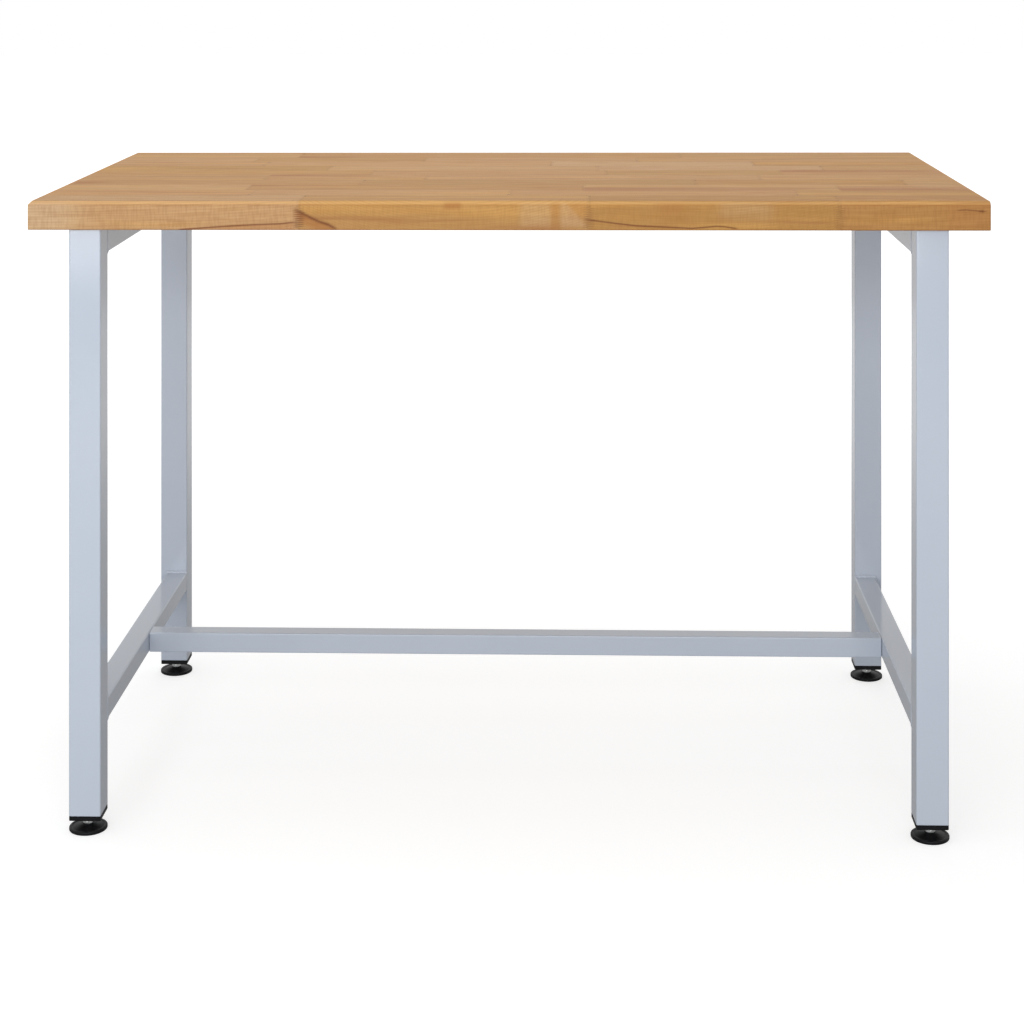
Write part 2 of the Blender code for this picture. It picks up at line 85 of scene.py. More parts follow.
# Boards of the worktop
WOOD_SEED = 11
SHORTEST_BOARD = 0.26
LONGEST_BOARD = 0.50
MOST_BOARDS = 8  # enough to fill a stave
END_BOARD = 40 * MM  # shortest piece of a board at the worktop's ends
STREAK_CLEAR = 0.15  # no other joint lies this near the start of a streak
BEYOND = 1.0  # a place past the worktop's ends and sides
TONE_SPREAD = 0.7  # below 1, boards are more often pale or dark than in between
PITH_OFF = 0.09  # how far the pith may lie from a board's middle
PITH_LEAN = 0.06  # how far it may lean, for each metre along the board
PLAINNESS = 0.6  # of flecks and fibres, apart from the front boards

# Tubes and their welds
TUBE_WALL = 2 * MM
TUBE_EASE = 1.2 * MM
LEG_CORNER = 2 * MM
RAIL_CORNER = 2 * MM
LEAST_CORNER = 0.3 * MM
ARC_STEPS = 8
SUPPORT = 0.5 * MM  # from an arc to the next point on the flat, which keeps its shading even
PORT_DIAMETER = 19 * MM
PORT_CELLS = 10
PORT_CLEAR = 1.7  # radii from a port's middle to the first row of points beside it
BEAD_RISE = 3.6 * MM
BEAD_REACH = 3.0 * MM
BEAD_FLUSH = 0.7 * MM
BEAD_RIPPLE = 7 * MM
BEAD_DRIFT = 5 * MM  # of a slow change in size, for each radian
BEAD_LEAST = 0.76  # of its full size; ripples and drift add to it
BEAD_CREST = 0.20
BEAD_SWELL = 0.12
BEAD_STEP = 0.4 * MM
BEAD_SIDES = 16
BEAD_END = 2 * MM

# Fasteners
SIDES_ROUND = 48
HEX_FLATS = 13 * MM
HEX_CHAMFER = 0.7 * MM
HEX_CONE = (0.97, 1.16)  # of the flats, at the narrow and the wide end of the chamfer
BOLT_DIAMETER = 8 * MM
BOLT_HEAD = 5.3 * MM
BOLT_TIP = 1 * MM  # chamfer at the end of a bolt or stem
BOLT_FACE = 0.3 * MM  # height of the round face under the head
BOLT_FACE_DIAMETER = 0.94 * HEX_FLATS
WASHER_EASE = 0.25 * MM
SCREW_DIAMETER = 6 * MM
SCREW_HEAD_DIAMETER = 12 * MM
SCREW_HEAD = 3.6 * MM
SCREW_CROWN = 2.2 * MM
SCREW_FLAT_DIAMETER = 6.8 * MM  # flat round the socket
SCREW_POINT = 6 * MM
SCREW_TIP_DIAMETER = 1.6 * MM
SOCKET_FLATS = 4 * MM
SOCKET_DEPTH = 2.2 * MM
SOCKET_EASE = 0.2 * MM
SOCKET_LEAD = 0.25 * MM

# Feet
THREAD_PITCH = 1.25 * MM
THREAD_DEPTH = 0.7 * MM
THREAD_FORM = (1.25, 0.12)  # steepness and drop of the wave, which flatten its crests and roots
THREAD_ROWS = 8  # to a pitch
THREAD_RUN_OUT = 1.5 * MM
STEM_HEX = 4.5 * MM
STEM_ABOVE_HEX = 29.7 * MM
BALL_DIAMETER = 6.2 * MM
BALL_FLAT = 2.0 * MM
BALL_ABOVE_FLOOR = 5.2 * MM
NECK_DIAMETER = 4.4 * MM
CUP_DIAMETER = 6.8 * MM  # the pad's socket round the ball
MOUTH_DIAMETER = 5.4 * MM
PAD_SIDES = 96
PAD_HUB_WALL = 3.6 * MM
PAD_COLLAR = 1.2 * MM
PAD_RIM = 4.4 * MM
PAD_RIM_WIDTH = 3.5 * MM
PAD_STEP = 0.6 * MM  # from the rim's top down to the cone's foot
PAD_EASE = 0.7 * MM
PAD_SOFTNESS = 0.5 * MM  # of every edge
SOLE_WIDTH = 6.7 * MM
SOLE_RECESS = 0.6 * MM
GROOVES = (5.2 * MM, 2.6 * MM)  # from the pad's edge
GROOVE_WIDTH = 1.1 * MM
GROOVE_SLANT = 0.2 * MM
GROOVE_DEPTH = 0.4 * MM


def linear(colour):
    """An sRGB hex colour as linear red, green, blue and an alpha of 1."""
    channels = np.array([int(colour[i : i + 2], 16) for i in (0, 2, 4)]) / 255
    light = np.where(channels <= 0.04045, channels / 12.92, ((channels + 0.055) / 1.055) ** 2.4)
    return (*light.tolist(), 1.0)


def feed(tree, target, inputs):
    """Gives the sockets of a node their values, or links them to other sockets."""
    for key, value in dict(inputs).items():
        if isinstance(value, bpy.types.NodeSocket):
            tree.links.new(value, target.inputs[key])
        else:
            target.inputs[key].default_value = value


def node(tree, kind, inputs=(), **settings):
    """Adds one shader node and gives its outputs. inputs pairs a socket's name or number with a value or
    another socket."""
    made = tree.nodes.new("ShaderNode" + kind)
    for name, value in settings.items():
        setattr(made, name, value)
    feed(tree, made, inputs)
    return made.outputs


def new_finish(name):
    """A material with its node tree, its Principled shader, and the place that its patterns are drawn at."""
    made = bpy.data.materials.new(name)
    made.use_nodes = True
    tree = made.node_tree
    return made, tree, tree.nodes["Principled BSDF"], node(tree, "TexCoord")["Object"]


# Sockets of a colour Mix node
MIX_A, MIX_B, MIX_OUT = 6, 7, 2

# Noises of the beech: size of a cell along x, y and z in mm, and detail. The rays' cells lie along the board,
# out from its pith, and round it at RAY_RADIUS, and are drawn coarser than the real ones to show.
GRAIN = {
    "wander": ((200, 33, 33), 2.0),
    "ray": ((2.3, 18, 1.4), 1.0),
    "fibre": ((50, 3.7, 3.7), 3.0),
    "band": ((450, 21, 33), 3.0),
    "streak": ((320, 10.5, 14), 2.0),
}
RAY_RADIUS = 100 * MM
RING_PITCH = 3.4 * MM
RING_WANDER = 8 * MM
BOARDS_APART = (9, 9, 9)  # metres between the noises of unlike boards

# Patterns that are soft steps: the noise of each, where it starts, and where it is full
STEPS = {
    "late": ("ring", 0.35, 0.97),
    "ray": ("ray", 0.40, 0.66),
    "golden": ("band", 0.52, 0.68),
    "dusky": ("band", 0.48, 0.32),
    "streak": ("streak", 0.60, 0.72),
}


def beech_figure(tree, place, board):
    """The grain as patterns from 0 to 1: rings and rays round each board's own pith, and fibres, bands and
    streaks along it. With them go the rings' wander and the plainness of each board."""
    pith = node(tree, "Attribute", attribute_name="pith")["Vector"]
    arch = node(tree, "Attribute", attribute_name="arch")["Vector"]
    spot = node(tree, "SeparateXYZ", {0: place})
    centre = node(tree, "SeparateXYZ", {0: pith})
    bowed = node(tree, "SeparateXYZ", {0: arch})

    # Place beside the pith, which leans and arches along the board, and then round it
    lean = node(tree, "Math", {0: spot[0], 1: centre[0], 2: centre[1]}, operation="MULTIPLY_ADD")[0]
    across = node(tree, "Math", {0: spot[1], 1: lean}, operation="SUBTRACT")[0]
    along = node(tree, "Math", {0: spot[0], 1: bowed[1]}, operation="SUBTRACT")[0]
    squared = node(tree, "Math", {0: along, 1: along}, operation="MULTIPLY")[0]
    crown = node(tree, "Math", {0: squared, 1: bowed[0], 2: centre[2]}, operation="MULTIPLY_ADD")[0]
    upward = node(tree, "Math", {0: spot[2], 1: crown}, operation="SUBTRACT")[0]
    beside = node(tree, "CombineXYZ", {1: across, 2: upward})[0]
    radius = node(tree, "VectorMath", {0: beside}, operation="LENGTH")["Value"]
    turn = node(tree, "Math", {0: upward, 1: across}, operation="ARCTAN2")[0]
    round_way = node(tree, "Math", {0: turn, 1: RAY_RADIUS}, operation="MULTIPLY")[0]
    ray_place = node(tree, "CombineXYZ", {0: spot[0], 1: radius, 2: round_way})[0]

    # Apart from the rays, every board takes its noises from a place far from the others'
    shifted = node(tree, "VectorMath", {0: board, 1: BOARDS_APART, 2: place}, operation="MULTIPLY_ADD")[0]
    noise = {}
    for name, (size, detail) in GRAIN.items():
        start = ray_place if name == "ray" else shifted
        cells = tuple(1 / (length * MM) for length in size)
        scaled = node(tree, "VectorMath", {0: start, 1: cells}, operation="MULTIPLY")[0]
        noise[name] = node(tree, "TexNoise", {"Vector": scaled, "Scale": 1.0, "Detail": detail})[0]

    # Growth rings: each is a slow darkening outwards with a sharp end
    warped = node(tree, "Math", {0: noise["wander"], 1: RING_WANDER, 2: radius}, operation="MULTIPLY_ADD")[0]
    phase = node(tree, "Math", {0: warped, 1: 1 / RING_PITCH}, operation="MULTIPLY")[0]
    noise["ring"] = node(tree, "Math", {0: phase}, operation="FRACT")[0]

    figure = {"wander": noise["wander"], "plainness": bowed[2]}
    figure["fibre"] = node(tree, "MapRange", {0: noise["fibre"], 1: 0.35, 2: 0.65})[0]
    for name, (source, start, full) in STEPS.items():
        ramp = {0: noise[source], 1: start, 2: full}
        figure[name] = node(tree, "MapRange", ramp, interpolation_type="SMOOTHSTEP")[0]
    return figure


def oiled_beech():
    """Laminated beech, sanded and oiled: honey staves of unlike tone, faint rings, short ray flecks,
    brown heart streaks and thin dark glue lines. Grain is a solid pattern round each board's own pith,
    so that the top, the edges and the end grain agree."""
    made, tree, shader, place = new_finish("oiled_beech")
    board = node(tree, "Attribute", attribute_name="board")["Vector"]
    # Marks: heart, reddish and pale wood, with painted shade lines on the front edge among them
    marks = node(tree, "Attribute", attribute_name="marks")["Vector"]
    seam = node(tree, "Attribute", attribute_name="seam_mm")["Fac"]
    figure = beech_figure(tree, place, board)
    chance = node(tree, "SeparateXYZ", {0: board})
    brown_and_shade, reddish_and_shade, ash = node(tree, "SeparateXYZ", {0: marks})

    # Glue lines 0.3 to 1.6 mm wide, end grain at the sawn ends, and the chamfers, whose grain is calm
    # and which carry a painted highlight
    glue_near = node(tree, "MapRange", {0: seam, 1: 0.15, 2: 0.8, 3: 1.0, 4: 0.0})[0]
    glue = node(tree, "Math", {0: glue_near, 1: figure["wander"]}, operation="MULTIPLY")[0]
    facing = node(tree, "SeparateXYZ", {0: node(tree, "TexCoord")["Normal"]})
    endways = node(tree, "Math", {0: facing[0]}, operation="ABSOLUTE")[0]
    end_grain = node(tree, "MapRange", {0: endways, 1: 0.8, 2: 1.0})[0]
    end_rings = node(tree, "Math", {0: figure["late"], 1: end_grain}, operation="MULTIPLY")[0]
    slope = node(tree, "Math", {0: facing[2], 1: 0.707, 2: 0.12}, operation="COMPARE")[0]
    calm = node(tree, "Math", {0: slope, 1: -0.8, 2: 1.0}, operation="MULTIPLY_ADD")[0]
    weave = node(tree, "Math", {0: figure["plainness"], 1: calm}, operation="MULTIPLY")[0]
    flecks = node(tree, "Math", {0: figure["ray"], 1: weave}, operation="MULTIPLY")[0]
    threads = node(tree, "Math", {0: figure["fibre"], 1: weave}, operation="MULTIPLY")[0]

    # Board tones from pale tan over golden brown to a redder brown; then grain, marks, painted light and glue
    layers = (
        (chance[0], 1.0, "ba8c4a"),
        (chance[1], 0.5, "b97d3c"),
        (chance[2], 0.30, "cf9c58"),
        (figure["golden"], 0.50, "dba558"),
        (figure["dusky"], 0.40, "bd8a58"),
        # Painted highlight: the chamfers, which face up towards the lamps, drawn lighter
        (slope, 0.40, "efbb78"),
        (ash, 0.60, "dcc2a0"),
        (figure["late"], 0.16, "9a6436"),
        (threads, 0.26, "96602f"),
        (flecks, 0.19, "905a2a"),
        (figure["streak"], 0.42, "9c6238"),
        # Reddish wood, and the painted shade line under the chamfer
        (reddish_and_shade, 0.66, "a5612a"),
        # Heart lines, knot and finger glue, and the painted shade line along the lower edge
        (brown_and_shade, 0.85, "6b3416"),
        (glue, 0.75, "5e3a20"),
        (end_grain, 0.45, "8a5a33"),
        (end_rings, 0.40, "5f3a1e"),
    )
    tone = linear("d0a678")
    for amount, share, colour in layers:
        part = node(tree, "Math", {0: amount, 1: share}, operation="MULTIPLY")[0]
        tone = node(tree, "Mix", {0: part, MIX_A: tone, MIX_B: linear(colour)}, data_type="RGBA")[MIX_OUT]
    gloss = node(tree, "MapRange", {0: figure["fibre"], 1: 0.0, 2: 1.0, 3: 0.56, 4: 0.68})[0]
    relief = node(tree, "Math", {0: glue, 1: -1.5, 2: figure["fibre"]}, operation="MULTIPLY_ADD")[0]
    bump = node(tree, "Bump", {"Height": relief, "Strength": 0.2, "Distance": 0.05 * MM})[0]
    feed(tree, shader, {"Base Color": tone, "Roughness": gloss, "Normal": bump, "Specular IOR Level": 0.3})
    return made


def grained(name, tones, cloud_size, grain_size, detail, glosses, relief=(), **levels):
    """A finish whose two tones mix in clouds, and whose gloss and relief, if any, follow a fine grain."""
    made, tree, shader, place = new_finish(name)
    clouds = {"Vector": place, "Scale": 1 / cloud_size, "Detail": detail}
    fine = {"Vector": place, "Scale": 1 / grain_size, "Detail": detail}
    grain = node(tree, "TexNoise", fine)[0]
    mix = {0: node(tree, "TexNoise", clouds)[0], MIX_A: linear(tones[0]), MIX_B: linear(tones[1])}
    tone = node(tree, "Mix", mix, data_type="RGBA")[MIX_OUT]
    gloss = node(tree, "MapRange", {0: grain, 1: 0.3, 2: 0.7, 3: glosses[0], 4: glosses[1]})[0]
    if relief:
        raised = {"Height": grain, "Strength": relief[0], "Distance": relief[1]}
        levels["Normal"] = node(tree, "Bump", raised)[0]
    feed(tree, shader, {"Base Color": tone, "Roughness": gloss, **levels})
    return made


def powder_coat():
    """Polyester powder coat on mild steel, light blue-grey: a glossy skin with a fine orange peel, about 2 mm
    from crest to crest, and hardly any change of tone, in clouds about 111 mm across."""
    tones = ("c0c9d7", "c6cedb")
    return grained("powder_coat", tones, 111 * MM, 2 * MM, 2.0, (0.09, 0.12), (0.03, 0.02 * MM))


def zinc_plate():
    """Bright zinc plate on turned steel: a satin metal with a pale bloom, mottled about 1.2 mm across."""
    tones = ("cfd1d2", "e6e6e4")
    return grained("zinc_plate", tones, 1.2 * MM, 1.2 * MM, 3.0, (0.36, 0.48), Metallic=0.75)


def black_nylon():
    """Injection-moulded black nylon: a satin skin with a fine spark-eroded grain about 0.8 mm across."""
    dull = {"Specular IOR Level": 0.2}
    tones = ("040406", "0a0a0e")
    return grained("black_nylon", tones, 0.8 * MM, 0.8 * MM, 2.0, (0.42, 0.56), (0.2, 0.05 * MM), **dull)


def bare_steel():
    """Sawn mild steel inside the stretcher: grey, with fine saw marks about 0.6 mm apart, drawn about twice
    as coarse to show. A wave texture repeats after a tenth of pi over its scale."""
    made, tree, shader, place = new_finish("bare_steel")
    saw = {"Vector": place, "Scale": math.pi / 10 / (1.257 * MM), "Distortion": 2.0}
    marks = node(tree, "TexWave", saw, bands_direction="Z")[1]
    mix = {0: marks, MIX_A: linear("7f8183"), MIX_B: linear("9b9c9d")}
    tone = node(tree, "Mix", mix, data_type="RGBA")[MIX_OUT]
    feed(tree, shader, {"Base Color": tone, "Roughness": 0.42, "Metallic": 1.0})
    return made


def put(name, data):
    """Adds an object to the scene."""
    made = bpy.data.objects.new(name, data)
    bpy.context.scene.collection.objects.link(made)
    return made


def place_camera():
    """The photograph's view. Its film stands upright, so uprights stay parallel: the camera's axes are
    skewed, with the view direction tilted down from the film's own normal."""
    right = np.array((math.cos(YAW), math.sin(YAW), 0))
    ahead = np.array((-math.sin(YAW), math.cos(YAW), 0))
    up = np.array((0, 0, 1))
    film_x = math.cos(ROLL) * right + math.sin(ROLL) * up
    drop = PICTURE_PIXELS / 2 - LENS_AXIS_ROW
    reach = math.hypot(FOCAL_PIXELS, drop)
    back = -(FOCAL_PIXELS * ahead - drop * up) / reach
    skewed = np.eye(4)
    skewed[:3] = np.stack((film_x, up, back, EYE), -1)
    data = bpy.data.cameras.new("camera")
    data.sensor_width = FILM_MM
    data.lens = FILM_MM * reach / PICTURE_PIXELS
    camera = put("camera", data)
    camera.parent = put("camera_stand", None)
    camera.matrix_parent_inverse = Matrix(skewed.tolist())
    bpy.context.scene.camera = camera


# Lamps: place, width and height, watts, tint, and whether glossy faces show them
COOL = (0.965, 0.985, 1.0)
COOLER = (0.92, 0.965, 1.0)
LAMPS = {
    "key_light": ((-0.2, -3.4, 1.2), (2.6, 2.0), 54, COOL, True),
    "left_light": ((-2.0, -3.0, 1.0), (1.6, 1.6), 12, COOL, True),
    "top_light": ((-0.4, 0.2, 3.2), (3.0, 2.0), 26, COOLER, True),
    "back_light": ((0.0, 3.4, 1.6), (2.2, 2.0), 18, COOLER, False),
}
LAMP_AIM = Vector((0, 0, 0.45))


def light_up():
    """A white room with one large cool light at the front, a weaker one at the left, one overhead, and one
    at the back that lends no gloss. The room shines white in glossy faces and lends less to matt ones."""
    world = bpy.context.scene.world or bpy.data.worlds.new("studio")
    bpy.context.scene.world = world
    world.use_nodes = True
    tree = world.node_tree
    tree.nodes.clear()
    rays = node(tree, "LightPath")
    soft = node(tree, "Background", {0: (1.0, 0.985, 0.965, 1), 1: 0.42})[0]
    bright = node(tree, "Background", {0: (1, 1, 1, 1), 1: 0.98})[0]
    white = node(tree, "Background", {0: (1, 1, 1, 1), 1: 1.0})[0]
    shone = node(tree, "MixShader", {0: rays["Is Glossy Ray"], 1: soft, 2: bright})[0]
    mixed = node(tree, "MixShader", {0: rays["Is Camera Ray"], 1: shone, 2: white})[0]
    node(tree, "OutputWorld", {0: mixed})
    for name, (spot, size, power, lamp_tint, shines) in LAMPS.items():
        data = bpy.data.lights.new(name, "AREA")
        data.shape = "RECTANGLE"
        data.size, data.size_y = size
        data.energy = power
        data.color = lamp_tint
        lamp = put(name, data)
        lamp.location = spot
        lamp.visible_glossy = shines
        lamp.rotation_euler = (Vector(spot) - LAMP_AIM).to_track_quat("Z", "Y").to_euler()


# The floor's glow for each kind of ray: where it starts and stops to grow, in metres from the bench's
# middle, and its least and most
FLOOR_GLOW = {"Is Camera Ray": (1.2, 3.5, 0.64, 1.0), "Is Glossy Ray": (0.7, 2.2, 0.05, 0.45)}
FLOOR_REACH = 20.0


def lay_floor():
    """A pale floor that shows the bench's soft shadow. Further out it glows to the eye and in glossy
    faces, so that it goes over to the white of the room."""
    made, tree, shader, place = new_finish("pale_floor")
    far = node(tree, "VectorMath", {0: place}, operation="LENGTH")["Value"]
    rays = node(tree, "LightPath")
    glow = 0.0
    for ray, (near, wide, least, most) in FLOOR_GLOW.items():
        ramp = {0: far, 1: near, 2: wide, 3: least, 4: most}
        level = node(tree, "MapRange", ramp, interpolation_type="SMOOTHSTEP")[0]
        glow = node(tree, "Math", {0: level, 1: rays[ray], 2: glow}, operation="MULTIPLY_ADD")[0]
    feed(tree, shader, {"Base Color": linear("c4c4c4"), "Roughness": 0.9, "Specular IOR Level": 0.1})
    feed(tree, shader, {"Emission Color": (1, 1, 1, 1), "Emission Strength": glow})
    corners = [(FLOOR_REACH * x, FLOOR_REACH * y, 0) for x, y in ((-1, -1), (1, -1), (1, 1), (-1, 1))]
    mesh = bpy.data.meshes.new("floor")
    mesh.from_pydata(corners, [], [(0, 1, 2, 3)])
    mesh.materials.append(made)
    floor = put("floor", mesh)


def box_of(name):
    """A node's lowest corner, highest corner and middle at rest, as arrays."""
    low, high = (np.array(corner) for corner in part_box(name))
    return low, high, (low + high) / 2


def piece(name, points, faces, finish, slot, body="frame", stands_for=(), sharp=32):
    """Makes a closed mesh with its faces outwards, smooth below the sharp angle, riding on a body."""
    mesh = bpy.data.meshes.new(name)
    mesh.from_pydata(points.tolist(), [], faces)
    mesh.calc_loop_triangles()
    corners = np.empty(3 * len(mesh.loop_triangles), dtype=np.int32)
    mesh.loop_triangles.foreach_get("vertices", corners)
    a, b, c = points[corners.reshape(-1, 3)].transpose(1, 0, 2)
    if np.einsum("ij,ij->", a, np.cross(b, c)) < 0:
        mesh.flip_normals()
    mesh.materials.append(finish)
    mesh.shade_smooth()
    mesh.set_sharp_from_angle(angle=math.radians(sharp))
    made = put(name, mesh)
    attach(made, body)
    if stands_for:
        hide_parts(*stands_for)
    return made


def skin(surface, ring=False):
    """Points and faces of a grid whose columns run round an outline. Rows run along the piece, and end
    in flat caps, or join up where the piece is a ring."""
    rows, columns = surface.shape[:2]
    index = np.arange(rows * columns).reshape(rows, columns)
    ends = [] if ring else [index[0, ::-1].tolist(), index[-1].tolist()]
    if ring:
        index = np.vstack((index, index[:1]))
    index = np.hstack((index, index[:, :1]))
    quads = np.stack((index[:-1, :-1], index[:-1, 1:], index[1:, 1:], index[1:, :-1]), -1)
    return surface.reshape(-1, 3), quads.reshape(-1, 4).tolist() + ends


def rounded_outline(width, depth, radius, between=0):
    """Points round a rectangle with arcs at its corners, and a point on each flat close to each arc.
    More points can be spread between these."""
    angle = np.linspace(0, math.pi / 2, ARC_STEPS + 1)
    arc = np.stack((np.cos(angle), np.sin(angle)), -1) * radius
    arc = np.vstack((arc[:1] - (0, SUPPORT), arc, arc[-1:] - (SUPPORT, 0)))
    corner = arc + (width / 2 - radius, depth / 2 - radius)
    left = corner[::-1] * (-1, 1)
    share = np.arange(1, between + 1)[:, None] / (between + 1)
    runs = (corner, left, -corner, -left)
    flats = (run[-1] + share * (after[0] - run[-1]) for run, after in zip(runs, runs[1:] + runs[:1]))
    return np.vstack([np.vstack(pair) for pair in zip(runs, flats)])


def bend(before, corner, after, radius):
    """Five points of a parabola that cuts a corner, along at most 0.45 of either side."""
    start, end = (
        corner + (far - corner) * min(radius / np.linalg.norm(far - corner), 0.45) for far in (before, after)
    )
    t = np.linspace(0, 1, 5)[:, None]
    return (1 - t) ** 2 * start + 2 * t * (1 - t) * corner + t**2 * end


def soften(corners, radius, closed=False):
    """A line of points with its corners cut by small parabolas."""
    corners = np.array(corners, dtype=float)
    before, after = np.roll(corners, 1, 0), np.roll(corners, -1, 0)
    line = [bend(*three, radius) for three in zip(before, corners, after)]
    if not closed:
        line[0], line[-1] = corners[:1], corners[-1:]
    return np.vstack(line)


def turned(height, radius, centre, sides=SIDES_ROUND, axis=2, outward=1):
    """A surface round an axis: a radius for each height, or for each height and angle. Its points are the
    radius times the cosine and sine of the angle."""
    radius = radius if radius.ndim == 2 else radius[:, None]
    angle = np.arange(sides) * 2 * math.pi / sides
    surface = np.empty((len(height), sides, 3))
    surface[..., (axis + 1) % 3] = radius * np.cos(angle)
    surface[..., (axis + 2) % 3] = radius * np.sin(angle)
    surface[..., axis] = outward * height[:, None]
    return surface + np.array(centre)


def round_rows(radii):
    """Radii as rows of a turned surface."""
    return np.repeat(np.array(radii, dtype=float)[:, None], SIDES_ROUND, 1)


def across_hexagon(flats):
    """Distance from the middle of a hexagon to its edge, at each angle."""
    angle = np.arange(SIDES_ROUND) * 2 * math.pi / SIDES_ROUND
    return flats / 2 / np.cos((angle + math.pi / 6) % (math.pi / 3) - math.pi / 6)


def hexagon_rows(low, high):
    """Heights and radii up a hexagon whose corners a cone cuts back at both ends."""
    rise = np.linspace(0, HEX_CHAMFER, 6)
    cone = HEX_FLATS / 2 * np.linspace(*HEX_CONE, 6)
    heights = np.concatenate((low + rise, high - rise[::-1]))
    return heights, np.minimum(np.concatenate((cone, cone[::-1]))[:, None], across_hexagon(HEX_FLATS))


# Boards of the front stave, from the left: where each ends, how golden and how red it is, how far its
# pith lies above the worktop's underside, how its grain arches, as the bow and the place of the lowest
# point, and how plainly its flecks and fibres show
FRONT_BOARDS = (
    (-0.269, 0.20, 0.05, -0.110, 0.13, -0.600, 0.9),
    (0.109, 0.82, 0.34, -0.090, 1.10, -0.065, 0.6),
    (0.432, 0.96, 0.40, -0.120, 0.50, 0.235, 0.7),
    (BEYOND, 0.80, 0.85, -0.100, 0.08, 0.300, 1.0),
)
# Glue lines between the fingers of the front joints: how dark at each joint, pitch, and lowest and highest
COMBS = (0.8, 0.25, 0.15)
COMB_PITCH = 2.6 * MM
COMB_LOW = 4 * MM
COMB_HIGH = 25 * MM

# Brown heart lines on the front edge, in mm: half width, how red the wood below is, and a path, as
# distance along the worktop and height above its underside
HEART_LINES = (
    (1.0, 0.5, ((-426, 0.8), (-396, 3.1), (-356, 5.8), (-326, 7.4), (-294, 8.5), (-275, 10.7))),
    (2.0, 0.7, ((-274, 27.0), (-265, 22.5), (-254, 16.5), (-244, 11.8), (-231, 7.5), (-221, 2.2))),
    (1.0, 0.0, ((105, 14.3), (139, 9.9), (169, 6.3), (242, 3.0), (273, 5.7), (283, 5.3), (300, 2.6))),
    (0.7, 0.0, ((583, 26.6), (594, 27.0), (605, 26.3), (614, 25.2), (619, 25.0))),
)
LINE_END = 2 * MM  # how softly a heart line ends
RED_DEPTH = 12 * MM  # of the reddish wood below a line
RED_TOP = 1.5 * MM  # how softly it starts under the line, and ends further down
RED_BOTTOM = 3 * MM
KNOT = (0.614, 0.0253)  # in metres along and up
KNOT_RADIUS = 2.0 * MM

# Painted shade: a dark line along the lower edge and a dark reddish line under the chamfer, as strength
# and half width
LOWER_EDGE_SHADE = (0.6, 1.2 * MM)
CHAMFER_EDGE_SHADE = (0.3, 0.7 * MM)

# Soft patches on the front edge: pale or reddish wood, its left and right sides, its lower side, how
# far the right side slants with the height, how soft the sides are, and how strong the patch is
PATCHES = (
    ("ash", -BEYOND, -0.565, -0.03, 0.0, 25 * MM, 0.8),
    ("ash", 0.019, 0.059, 0.004, 0.0, 3 * MM, 0.3),
    ("ash", 0.071, 0.111, 0.004, -0.9, 2.5 * MM, 0.4),
    ("ash", 0.278, 0.345, 0.016, 0.0, 8 * MM, 0.3),
    ("reddish_and_shade", 0.059, 0.071, -0.01, 0.0, 1.5 * MM, 0.35),
    ("reddish_and_shade", 0.081, 0.111, 0.012, 0.0, 3 * MM, 0.25),
    ("reddish_and_shade", -0.080, -0.058, 0.028, 0.0, 1.5 * MM, 0.7),
    ("reddish_and_shade", 0.195, 0.234, 0.008, 0.0, 8 * MM, 0.25),
    ("reddish_and_shade", 0.571, BEYOND, -0.03, 0.0, 10 * MM, 0.25),
)

# Brown streaks on the top: left and right end, distance across the worktop, and half width. Each is
# strongest at its left end, where a board starts.
TOP_STREAKS = (
    (-0.617, -0.556, -0.1106, 14 * MM),
    (-0.360, -0.193, -0.1455, 6 * MM),
    (-0.347, -0.251, 0.2474, 10 * MM),
    (-0.353, -0.196, -0.0228, 11 * MM),
    (0.102, 0.420, -0.1860, 20 * MM),
    (0.391, 0.622, 0.0405, 13 * MM),
    (0.449, 0.680, -0.1900, 22 * MM),
)
STREAK_POINTS = (-1.3, -0.6, 0, 0.6, 1.3)  # rows of points across a streak, in half widths
STREAK_START = 1 * MM  # how softly it starts and ends
STREAK_END = 15 * MM
STREAK_FADE = (1.1, 0.7)  # strength at its left end, and loss to its right end
STREAK_BROWN = 0.16
STREAK_RED = 0.85
TOP_DEPTH = 0.2 * MM  # points this near the upper face are on it

# Numbers of the section's straight runs
FRONT_RUN, TOP_RUN, BACK_RUN, BOTTOM_RUN = 0, 2, 4, 6


def soft_step(distance, width):
    """0 well below zero and 1 well above it, as a smooth curve about as wide as given."""
    return 0.5 + 0.5 * np.tanh(distance / width)


def bell(distance, width):
    """1 at no distance, falling off to 0 on either side over about the width."""
    return np.exp(-((distance / width) ** 2))


